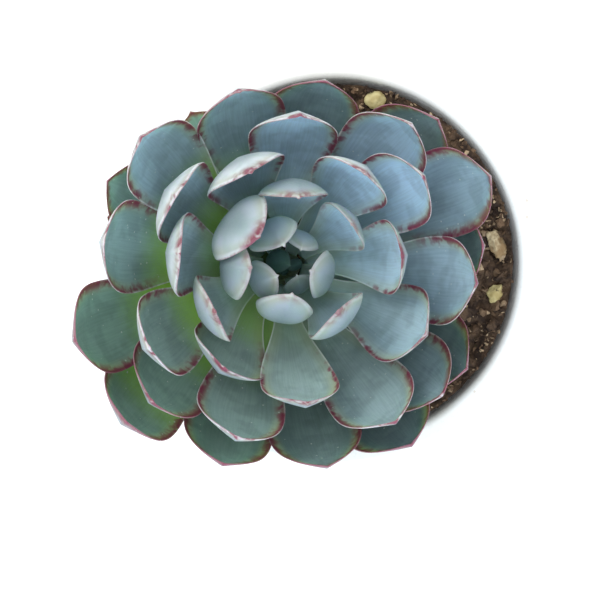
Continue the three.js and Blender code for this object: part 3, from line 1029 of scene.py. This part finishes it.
def turned(name, profile, count):
    """A closed shape turned round the pot's axis, from a profile that starts and ends on it."""
    shape = bmesh.new()
    first = shape.verts.new((0, 0, profile[0][1]))
    final = shape.verts.new((0, 0, profile[-1][1]))
    angles = [2 * math.pi * k / count for k in range(count)]
    rings = []
    for radius, height in profile[1:-1]:
        around = [(radius * math.cos(a), radius * math.sin(a), height) for a in angles]
        rings.append([shape.verts.new(point) for point in around])
    for k in range(count):
        after = (k + 1) % count
        shape.faces.new((first, rings[0][after], rings[0][k]))
        for lower, upper in zip(rings, rings[1:]):
            shape.faces.new((lower[k], lower[after], upper[after], upper[k]))
        shape.faces.new((final, rings[-1][k], rings[-1][after]))
    bmesh.ops.recalc_face_normals(shape, faces=shape.faces)
    mesh = bpy.data.meshes.new(name)
    shape.to_mesh(mesh)
    shape.free()
    return mesh


def drainage_bores(options):
    """Cylinders that cut the drainage holes."""
    shape = bmesh.new()
    for k in range(options.drains):
        angle = 2 * math.pi * k / options.drains
        at = Vector((math.cos(angle), math.sin(angle), 0)) * options.drain_ring
        bmesh.ops.create_cone(
            shape, cap_ends=True, segments=BORE_STEPS, radius1=options.drain, radius2=options.drain,
            depth=BORE_DEPTH, matrix=Matrix.Translation(at + Vector((0, 0, BORE_MIDDLE))),
        )
    mesh = bpy.data.meshes.new("bores")
    shape.to_mesh(mesh)
    shape.free()
    return mesh


class SUCCULENT_OT_pot(bpy.types.Operator):
    """Turns the glazed pot and bores its drainage holes"""

    bl_idname = "succulent.pot"
    bl_label = "Pot"

    def execute(self, context):
        options = settings("pot")
        mesh = turned("pot_fine", pot_profile(options), options.segments)
        piece = new_object("pot_fine", mesh, pot_material(options))
        cutter = new_object("bores", drainage_bores(options))
        cut = piece.modifiers.new("bores", "BOOLEAN")
        cut.object = cutter
        cut.solver = "EXACT"
        applied(piece)
        bpy.data.objects.remove(cutter)
        piece.data.set_sharp_from_angle(angle=CREASE)
        smooth(piece.data)
        keep(piece, "pot_glaze", "pot")
        return {"FINISHED"}


# ---- Stage -----------------------------------------------------------------------------------------------
FLOOR_HALF = 3.0  # half the floor's width, in metres
FLOOR_DROP = 0.2 * MM  # room under the pot
SKY_COLOUR = (0.93, 0.97, 1.0)
LIGHTS = {  # name: place from the point looked at, width in metres, and tint
    "key": ((-0.50, 0.44, 0.70), 0.6, (1, 0.98, 0.94)),
    "fill": ((0.16, -0.60, 0.55), 0.5, (0.74, 0.88, 1)),
    "overhead": ((-0.05, 0.05, 0.80), 0.5, (1, 1, 1)),
}


def disk_light(name, aim, power):
    offset, size, tint = LIGHTS[name]
    data = bpy.data.lights.new(name, "AREA")
    data.shape = "DISK"
    data.size = size
    data.energy = power
    data.color = tint
    lamp = bpy.data.objects.new(name, data)
    lamp.location = aim + Vector(offset)
    lamp.rotation_euler = (aim - lamp.location).to_track_quat("-Z", "Y").to_euler()
    bpy.context.scene.collection.objects.link(lamp)


class SUCCULENT_OT_stage(bpy.types.Operator):
    """Lays the pale floor and sets the light and the camera"""

    bl_idname = "succulent.stage"
    bl_label = "Stage"

    def execute(self, context):
        options = settings("stage")
        scene = context.scene
        mesh = bpy.data.meshes.new("floor")
        shape = bmesh.new()
        bmesh.ops.create_grid(shape, x_segments=1, y_segments=1, size=FLOOR_HALF)
        shape.to_mesh(mesh)
        shape.free()
        finish, nodes, shader = material("floor", 0.8)
        nodes.set(shader["Base Color"], tuple(options.floor))
        floor = new_object("floor", mesh, finish)
        floor.location.z = -FLOOR_DROP

        world = bpy.data.worlds.new("studio")
        world.use_nodes = True
        sky = world.node_tree.nodes["Background"].inputs
        sky["Color"].default_value = (*SKY_COLOUR, 1)
        sky["Strength"].default_value = options.sky
        scene.world = world
        aim = Vector(options.centre)
        for name in LIGHTS:
            disk_light(name, aim, getattr(options, name))
        scene.view_settings.view_transform = "Standard"

        camera = bpy.data.cameras.new("camera")
        camera.lens = options.lens
        camera.clip_start = 0.01
        eye = bpy.data.objects.new("camera", camera)
        eye.location = aim + Vector((0, 0, options.distance))
        scene.collection.objects.link(eye)
        scene.camera = eye
        return {"FINISHED"}


# ---- Panel and registration ------------------------------------------------------------------------------
OPERATORS = [
    SUCCULENT_OT_stage, SUCCULENT_OT_pot, SUCCULENT_OT_mix, SUCCULENT_OT_chips, SUCCULENT_OT_stem,
    SUCCULENT_OT_leaves,
]


class SUCCULENT_PT_panel(bpy.types.Panel):
    bl_label = "Potted Succulent"
    bl_idname = "SUCCULENT_PT_panel"
    bl_space_type = "VIEW_3D"
    bl_region_type = "UI"
    bl_category = "Succulent"

    def draw(self, context):
        for step in OPERATORS:
            self.layout.operator(step.bl_idname)


def register():
    for kind in (*SETTINGS.values(), *OPERATORS, SUCCULENT_PT_panel):
        bpy.utils.register_class(kind)
    for part, kind in SETTINGS.items():
        setattr(bpy.types.Scene, f"succulent_{part}", bpy.props.PointerProperty(type=kind))


def unregister():
    for part in SETTINGS:
        delattr(bpy.types.Scene, f"succulent_{part}")
    for kind in (SUCCULENT_PT_panel, *reversed(OPERATORS), *SETTINGS.values()):
        bpy.utils.unregister_class(kind)


def main():
    register()
    bpy.ops.succulent.stage()
    bpy.ops.succulent.pot()
    bpy.ops.succulent.mix()
    bpy.ops.succulent.chips()
    bpy.ops.succulent.stem()
    bpy.ops.succulent.leaves()


if __name__ == "__main__":
    main()
